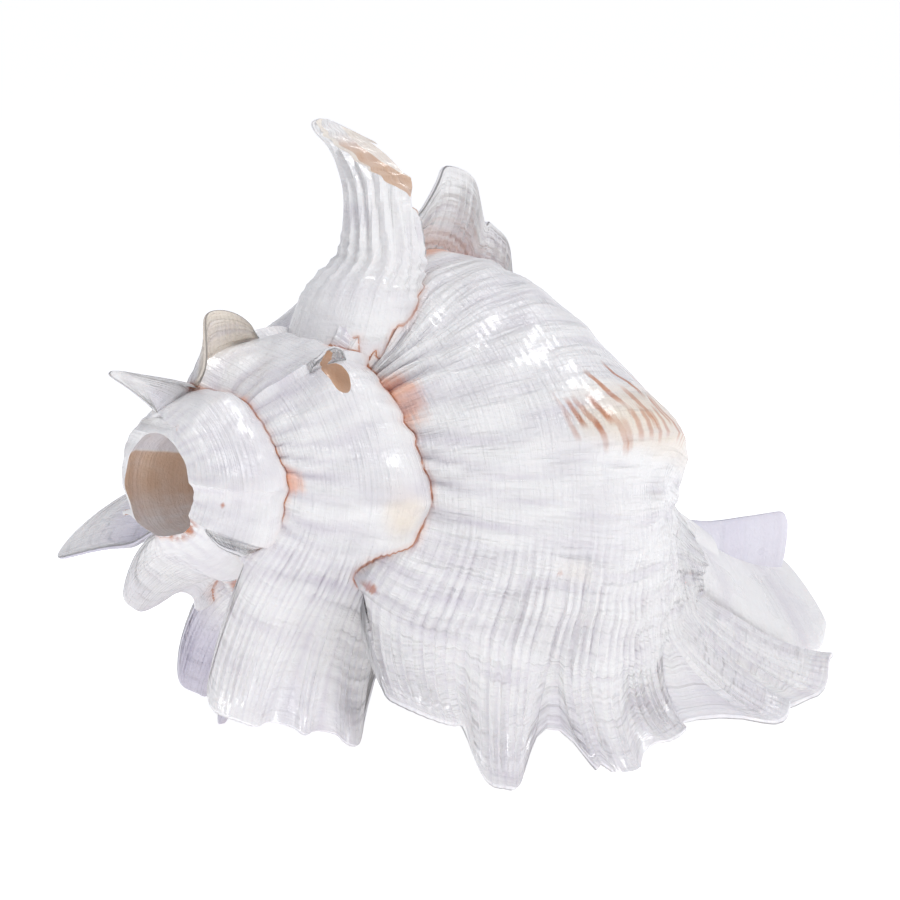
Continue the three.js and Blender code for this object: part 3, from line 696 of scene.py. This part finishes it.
class Wire:                                 # a node's output, for writing shader maths as expressions
    def __init__(self, tree, socket):
        self.tree, self.socket = tree, socket

    def node(self, kind, settings, values, output=0):
        made = self.tree.nodes.new(kind)
        for name, value in settings.items():
            setattr(made, name, value)
        for name, value in values.items():
            if isinstance(value, Wire):
                self.tree.links.new(value.socket, made.inputs[name])
            else:
                made.inputs[name].default_value = value
        return Wire(self.tree, made.outputs[output] if made.outputs else None)      # an output node has none

    def maths(self, operation, *values):
        return self.node("ShaderNodeMath", {"operation": operation}, dict(enumerate(values)))

    def __add__(self, other):
        return self.maths("ADD", self, other)

    def __sub__(self, other):
        return self.maths("SUBTRACT", self, other)

    def __rsub__(self, other):
        return self.maths("SUBTRACT", other, self)

    def __mul__(self, other):
        return self.maths("MULTIPLY", self, other)

    __radd__ = __add__
    __rmul__ = __mul__

    def limited(self):
        return self.node("ShaderNodeClamp", {}, {"Value": self})

    def between(self, low, high):           # smooth step from 0 at low to 1 at high
        return self.node("ShaderNodeMapRange", {"interpolation_type": "SMOOTHSTEP"},
                         {"Value": self, "From Min": low, "From Max": high})

    def shade(self, under, over):           # over shows where this value is 1
        return self.node("ShaderNodeMix", {"data_type": "RGBA"}, {0: self, 6: under, 7: over}, 2)


def readCorners(mesh, name):
    values = np.zeros(len(mesh.loops) * 3)
    mesh.attributes[name].data.foreach_get("vector", values)
    return values.reshape(-1, 3)


def readShell(mesh):
    # where each corner of the skin was grown, its face's part and its own place
    vertexOf = np.zeros(len(mesh.loops), int)
    mesh.loops.foreach_get("vertex_index", vertexOf)
    points = np.zeros(len(mesh.vertices) * 3)
    mesh.vertices.foreach_get("co", points)
    part = np.zeros(len(mesh.polygons), int)
    mesh.attributes["part"].data.foreach_get("value", part)
    points = points.reshape(-1, 3)[vertexOf] / millimetre
    return readCorners(mesh, "grain"), np.repeat(part, 3), points, vertexOf


def creaseVertices(mesh, grain, part, vertexOf):
    # vertices where a whorl or the horn lies on an older whorl, and those on the broken edge at the apex
    edgeOf = np.zeros(len(mesh.loops), int)
    mesh.loops.foreach_get("edge_index", edgeOf)
    faceTurn = np.repeat(grain[:, 1].reshape(-1, 3).mean(1), 3)
    order = np.argsort(edgeOf, kind="stable")
    first, second = order[0::2], order[1::2]
    low, high = np.minimum(part[first], part[second]), np.maximum(part[first], part[second])
    onOlder = (np.abs(faceTurn[first] - faceTurn[second]) > 100) & (high < len(varices))
    onOlder |= (low == len(varices) - 1) & (high == marks["horn"])
    chipped = (low < len(varices)) & np.isin(high, (marks["lost"], marks["pocket"]))
    return np.unique(vertexOf[first[onOlder]]), np.unique(vertexOf[first[chipped]])


def distanceTo(mesh, vertices, vertexOf):   # in millimetres, for each corner
    tree = KDTree(len(vertices))
    for number, vertex in enumerate(vertices):
        tree.insert(mesh.vertices[vertex].co, number)
    tree.balance()
    away = np.array([tree.find(vertex.co)[2] for vertex in mesh.vertices]) / millimetre
    return away[vertexOf]


patches = [                                 # stains: where on the shell, how wide, and how strong
    {"tint": "salmon", "turn": -77, "across": 0.04, "span": 14, "width": 0.05, "strength": 1.4},
    {"tint": "salmon", "turn": -130, "across": 0.44, "span": 7, "width": 0.16, "strength": 1.3},
    {"tint": "salmon", "turn": -400, "across": 0.04, "span": 8, "width": 0.06, "strength": 1.4},
    {"tint": "salmon", "turn": -462, "across": 0.05, "span": 6, "width": 0.03, "strength": 0.6},
    {"tint": "rust", "turn": -20, "across": 0.275, "span": 1.4, "width": 0.01, "strength": 0.5},
    {"tint": "rust", "turn": -13, "across": 0.86, "span": 1.6, "width": 0.035, "strength": 0.5},
    {"tint": "rust", "turn": -3, "across": 0.012, "span": 1.5, "width": 0.016, "strength": 1.0},
    {"tint": "rust", "turn": -300, "across": 0.1, "span": 5, "width": 0.05, "strength": 0.9},
    {"tint": "rust", "turn": -700, "across": 0.03, "span": 6, "width": 0.06, "strength": 0.8},
    {"tint": "rust", "turn": -757, "across": 0.3, "span": 1.6, "width": 0.02, "strength": 0.9},
    {"tint": "rust", "turn": -741, "across": 0.16, "span": 2.2, "width": 0.014, "strength": 0.8},
    {"tint": "rust", "turn": -738, "across": 0.07, "span": 1.4, "width": 0.02, "strength": 0.9},
    {"tint": "rust", "turn": -398, "across": 0.02, "span": 5, "width": 0.016, "strength": 1.0},
    {"tint": "rust", "turn": -822, "across": 0.05, "span": 6, "width": 0.05, "strength": 0.6},
    {"tint": "cream", "turn": -20, "across": 0.3, "span": 6, "width": 0.06, "strength": 0.6},
    {"tint": "cream", "turn": -385, "across": 0.36, "span": 12, "width": 0.07, "strength": 0.7},
]


creamVarix = 4                              # numbers of varices, counted from the apex
# the flanges of these varices are painted lilac as shade
lilacShadeVarices = 7, 8
crestStain = {"turn": -57, "span": 9, "strength": 0.55}
cavity = {                                  # heights above the ground in millimetres, and strengths
    "edge": (67.2, 67.8), "fades": (46, 62), "tan": 0.7, "lilac": 0.4,
}
farAway = 20                                # millimetres from a suture or a chip where stains have long ended
threadScale = {"across": 130, "along": 0.85, "up": 25, "plainAcross": 8, "plainAlong": 0.3}


def paintShell(mesh):
    grain, part, points, vertexOf = readShell(mesh)
    across, turn, level = grain.T
    whorl = part < len(varices)
    size = sizeAt(np.where(whorl, turn, 0))
    drift = wander(across, turn)
    masks = {name: np.zeros(len(across)) for name in ("salmon", "rust", "cream", "lilac", "tan")}
    seams, chips = creaseVertices(mesh, grain, part, vertexOf)
    fromSeam, fromChip = distanceTo(mesh, seams, vertexOf), distanceTo(mesh, chips, vertexOf)
    for patch in patches:
        spot = bell(turn, patch["turn"], patch["span"]) * bell(across, patch["across"], patch["width"])
        masks[patch["tint"]] += whorl * (level < 0.4) * patch["strength"] * spot
    for knob in knobs:
        masks["cream"] += whorl * 0.5 * knobShare(knob, across, turn)
    crest = bell(turn, crestStain["turn"], crestStain["span"])
    crest = crest * smooth(0.28, 0.34, across) * smooth(0.6, 0.5, across)
    masks["cream"] += whorl * crestStain["strength"] * crest
    masks["cream"] += (part == creamVarix) * smooth(0.2, 0.7, level) * 0.8
    height = np.where(level > 1, 2 - level, level)
    # painted shade: lilac rising up the flanges and over the flanges of the shaded varices
    masks["lilac"] += whorl * smooth(0.1, 0.8, height) * (0.2 + 0.2 * drift)
    masks["lilac"] += np.isin(part, lilacShadeVarices) * 0.5 * smooth(0, 0.5, height)
    masks["lilac"] += (part == marks["oldCanal"]) * 0.6
    masks["tan"] += (part == marks["hornChannel"]) * 0.7 * smooth(72, 66, turn)
    masks["cream"] += (part == marks["hornMouth"]) * 0.7
    masks["tan"] += 0.9 * (part == marks["groove"])
    pocket = part == marks["pocket"]
    tide = points[:, 2] + 0.5 * np.sin(points[:, 1] * 2.1) + 0.4 * np.sin(points[:, 1] * 4.7 + points[:, 0])
    broken = smooth(*cavity["edge"], tide)
    masks["tan"] += pocket * cavity["tan"] * (1 - broken) * smooth(*cavity["fades"], tide)
    masks["lilac"] += pocket * cavity["lilac"] * broken
    masks["salmon"] += (part == marks["aperture"]) * 0.16
    for name, values in masks.items():
        masks[name] = np.clip(values, 0, 1)
    grown = whorl | (part == marks["horn"])
    # painted shade: the valleys of the growth folds and of the cords towards a large varix are darkened, where
    # shade would fall
    creased = smooth(0.2, -1, foldWave(across, turn)) * (0.3 + 0.7 * smooth(0.3, 0.05, across))
    ribbed = smooth(0.1, -0.8, cordWave(across, turn)) * np.clip(ribShare(turn), 0, 1)
    ribbed = ribbed * smooth(2.0, 0.6, level)
    masks["hollow"] = whorl * np.clip(0.6 * creased * (level < 0.1) + 0.6 * ribbed, 0, 1)
    masks["suture"] = np.where(grown, np.clip(fromSeam, 0, farAway), farAway)       # kept in millimetres
    masks["chip"] = np.where(whorl, np.clip(fromChip, 0, farAway), farAway)
    masks["young"] = np.where(whorl, -turn, 0)
    masks["place"] = np.where(whorl, across, -1)
    for name, values in masks.items():
        layer = mesh.attributes.new(name, "FLOAT", "CORNER")
        layer.data.foreach_set("value", values.astype(np.float32))
    sideways = across * threadScale["across"] * size
    onward = turn * threadScale["along"] * size + height * threadScale["up"] * size
    threads = np.stack([sideways, onward, 0 * across], -1)
    sideways, onward = across * threadScale["plainAcross"], turn * threadScale["plainAlong"]
    threads[~whorl] = np.stack([sideways, onward, 0 * across], -1)[~whorl]
    layer = mesh.attributes.new("threads", "FLOAT_VECTOR", "CORNER")
    layer.data.foreach_set("vector", threads.astype(np.float32).ravel())


print("painting")
paintShell(shell.data)

shellFinish = {
    "white": (0.82, 0.81, 0.80, 1),
    "cream": (0.78, 0.69, 0.575, 1),
    "lilac": (0.60, 0.57, 0.70, 1),
    # the colour of the painted shade in the valleys
    "hollow": (0.48, 0.425, 0.52, 1),
    "salmon": (0.82, 0.43, 0.29, 1),
    "rust": (0.47, 0.15, 0.035, 1),
    "tan": (0.60, 0.39, 0.25, 1),
    "gloss": 0.22, "chalk": 0.45,           # roughness of the glazed and of the worn places
    "glaze": 0.35, "glazeRoughness": 0.12, "glow": 0.12,
    "threadHeight": 0.38, "lineHeight": 0.45, "pitHeight": 0.16, "foldHeight": 2.6,     # millimetres
}
sutureStain = {"line": 0.5, "bleed": 1.8}   # millimetres to each side
rimSpecks = (0.5, 2.6)                      # millimetres from the broken edge
streaks = {
    "turn": -56, "spacing": 0.0185, "slant": 0.0016, "from": 0.29, "to": 0.56, "fade": 0.03,
    "shift": 7.0, "length": 4.5,            # degrees of growth
    "core": 0.1, "edge": 0.36,              # half widths, as shares of the spacing
}
looseStreaks = {
    **streaks, "turn": -59, "spacing": 0.029, "slant": 0.0022, "shift": 15.0, "length": 6, "edge": 0.22,
}


def shellMaterial():
    made = bpy.data.materials.new("shellGlaze")
    made.use_nodes = True
    tree = made.node_tree
    tree.nodes.clear()
    start = Wire(tree, None)

    def layer(name):
        return start.node("ShaderNodeAttribute", {"attribute_name": name}, {}, "Fac")

    def noise(vector, scale, detail=3.0, rough=0.55):
        return start.node("ShaderNodeTexNoise", {}, {
            "Vector": vector, "Scale": scale, "Detail": detail, "Roughness": rough}, "Fac")

    def stretched(vector, factors):
        return start.node("ShaderNodeVectorMath", {"operation": "MULTIPLY"}, {0: vector, 1: factors})

    here = start.node("ShaderNodeTexCoord", {}, {}, "Object")
    threads = start.node("ShaderNodeAttribute", {"attribute_name": "threads"}, {}, "Vector")
    blotch = noise(here, 45)
    speck = noise(here, 420, 4)
    fine = noise(here, 1500, 2)
    spiral = noise(stretched(threads, (1.5, 0.10, 1)), 1, 2)
    lines = noise(stretched(threads, (0.10, 1.4, 1)), 1, 3)
    coarse = noise(stretched(threads, (0.04, 0.28, 1)), 1, 2)

    across, turn = layer("place"), layer("young") * -1

    def dashes(kind):                       # short brown lines along the growth, each lane with its own start
        lane = (across - (turn - kind["turn"]) * kind["slant"]) * (1 / kind["spacing"])
        number = lane.maths("FLOOR", lane)
        chance = start.node("ShaderNodeTexWhiteNoise", {"noise_dimensions": "1D"}, {"W": number}, "Value")
        beside = lane.maths("ABSOLUTE", lane - number - 0.5 + (speck - 0.5) * 0.25)
        ahead = turn - kind["turn"] + (chance - 0.5) * kind["shift"]
        off = lane.maths("ABSOLUTE", ahead)
        thin = 1 - beside.between(kind["core"], kind["edge"])
        short = 1 - off.between(kind["length"] * 0.4, kind["length"])
        begins = across.between(kind["from"], kind["from"] + kind["fade"])
        ends = 1 - across.between(kind["to"] - kind["fade"], kind["to"])
        return thin * short * (begins * ends) * (0.4 + chance * 0.6)

    ragged = (speck - 0.5) * 0.9 + (spiral - 0.5) * 0.8
    away = layer("suture") * (0.35 + speck * 1.3)
    patchy = noise(stretched(threads, (0.02, 0.11, 1)), 1, 3)
    line = (1 - away.between(0.15, sutureStain["line"])) * patchy.between(0.38, 0.54)
    bleed = (1 - away.between(0.1, sutureStain["bleed"])) * patchy.between(0.3, 0.6)
    cream = (layer("cream") + (blotch - 0.55) * 0.5).between(0.15, 0.95)
    lilac = (layer("lilac") + (coarse - 0.5) * 0.4).between(0.05, 0.95)
    salmon = (layer("salmon") + ragged * 0.5).between(0.18, 0.85) + bleed * 0.4
    streaked = dashes(streaks) + dashes(looseStreaks)
    specks = (1 - layer("chip").between(*rimSpecks)) * blotch.between(0.5, 0.56) * speck.between(0.42, 0.55)
    rust = (layer("rust") + ragged * 0.6).between(0.22, 0.7) + line + streaked + specks * 0.8
    tan = (layer("tan") + ragged * 0.3).between(0.1, 0.9)
    # lilac, which on the flanges is painted shade
    shade = (lilac * 0.8).shade(shellFinish["white"], shellFinish["lilac"])
    shade = ((coarse - 0.5) * 0.5 + cream * 0.75).between(0, 1).shade(shade, shellFinish["cream"])
    shade = tan.shade(shade, shellFinish["tan"])
    shade = (salmon * 0.8).limited().shade(shade, shellFinish["salmon"])
    shade = (rust * 0.9).limited().shade(shade, shellFinish["rust"])
    # painted shade in the fold and cord valleys and in the low places of the coarse and spiral bumps, with some
    # random mottling from the blotch noise
    paintedShadeAndMottle = (layer("hollow") * 0.45 + coarse.between(0.5, 0.3) * 0.22 + spiral.between(0.5, 0.3) * 0.07
              + blotch.between(0.5, 0.3) * 0.12)
    shade = paintedShadeAndMottle.limited().shade(shade, shellFinish["hollow"])
    dusty = (lines.between(0.62, 0.75) * 0.10 + speck.between(0.66, 0.8) * 0.12)
    shade = dusty.shade(shade, shellFinish["cream"])

    rough = blotch.between(0.3, 0.75) * (shellFinish["chalk"] - shellFinish["gloss"]) + shellFinish["gloss"]
    rough = rough + (spiral - 0.5) * 0.12 + tan * 0.2
    height = (spiral * shellFinish["threadHeight"] + lines * shellFinish["lineHeight"]
              + fine * shellFinish["pitHeight"] + coarse * shellFinish["foldHeight"]) * millimetre
    bump = start.node("ShaderNodeBump", {}, {"Height": height, "Strength": 1.0, "Distance": 1.0})
    surface = start.node("ShaderNodeBsdfPrincipled", {}, {
        "Base Color": shade, "Roughness": rough, "Normal": bump,
        "Coat Weight": shellFinish["glaze"], "Coat Roughness": shellFinish["glazeRoughness"],
        "Subsurface Weight": shellFinish["glow"], "Subsurface Radius": (1.0, 0.8, 0.7),
        "Subsurface Scale": 2 * millimetre,
    })
    start.node("ShaderNodeOutputMaterial", {}, {"Surface": surface})
    return made


print("glazing")
shell.data.materials.clear()
shell.data.materials.append(shellMaterial())
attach(shell, "root")
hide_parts("murex_shell")

print("floor, light and camera")
bpy.ops.mesh.primitive_plane_add(size=30)
floor = bpy.context.object
floor.name = "floor"
floorPaint = bpy.data.materials.new("floorPaint")
floorPaint.use_nodes = True
floorLook = {
    "Base Color": (0.94, 0.94, 0.94, 1), "Roughness": 0.9,
    "Emission Color": (1, 1, 1, 1), "Emission Strength": 0.55,
}
for name, value in floorLook.items():
    floorPaint.node_tree.nodes["Principled BSDF"].inputs[name].default_value = value
floor.data.materials.append(floorPaint)

studio = {"low": (0.92, 0.92, 0.95, 1), "high": (0.42, 0.43, 0.48, 1), "fadeFrom": 0.10, "fadeTo": 0.45}
world = bpy.data.worlds.new("studio")
world.use_nodes = True
sky = world.node_tree.nodes["Background"]
start = Wire(world.node_tree, None)
around = start.node("ShaderNodeTexCoord", {}, {}, "Generated")
upward = start.node("ShaderNodeSeparateXYZ", {}, {"Vector": around}, "Z")
tone = upward.between(studio["fadeFrom"], studio["fadeTo"]).shade(studio["low"], studio["high"])
world.node_tree.links.new(tone.socket, sky.inputs["Color"])
bpy.context.scene.world = world
bpy.context.scene.view_settings.view_transform = "Standard"


def towards(azimuth, height):               # a unit vector, in degrees from the front and above the floor
    a, e = math.radians(azimuth), math.radians(height)
    return Vector((math.sin(a) * math.cos(e), -math.cos(a) * math.cos(e), math.sin(e)))


def softLight(name, azimuth, height, distance, size, power):
    lamp = bpy.data.lights.new(name, "AREA")
    lamp.size, lamp.energy = size, power
    held = bpy.data.objects.new(name, lamp)
    held.location = distance * towards(azimuth, height)
    held.rotation_euler = (-held.location).to_track_quat("-Z", "Y").to_euler()
    bpy.context.scene.collection.objects.link(held)


softLight("keyLight", 12, 64, 1.2, 0.3, 6.1)

view = {"azimuth": -40, "height": 8, "distance": 0.8, "target": (-0.00777, -0.00073, 0.062), "lens": 148}
target = Vector(view["target"])
eye = bpy.data.objects.new("eye", bpy.data.cameras.new("eye"))
eye.data.lens, eye.data.sensor_width = view["lens"], 36
eye.data.clip_start = 0.05
eye.location = target + view["distance"] * towards(view["azimuth"], view["height"])
eye.rotation_euler = (target - eye.location).to_track_quat("-Z", "Y").to_euler()
bpy.context.scene.collection.objects.link(eye)
bpy.context.scene.camera = eye
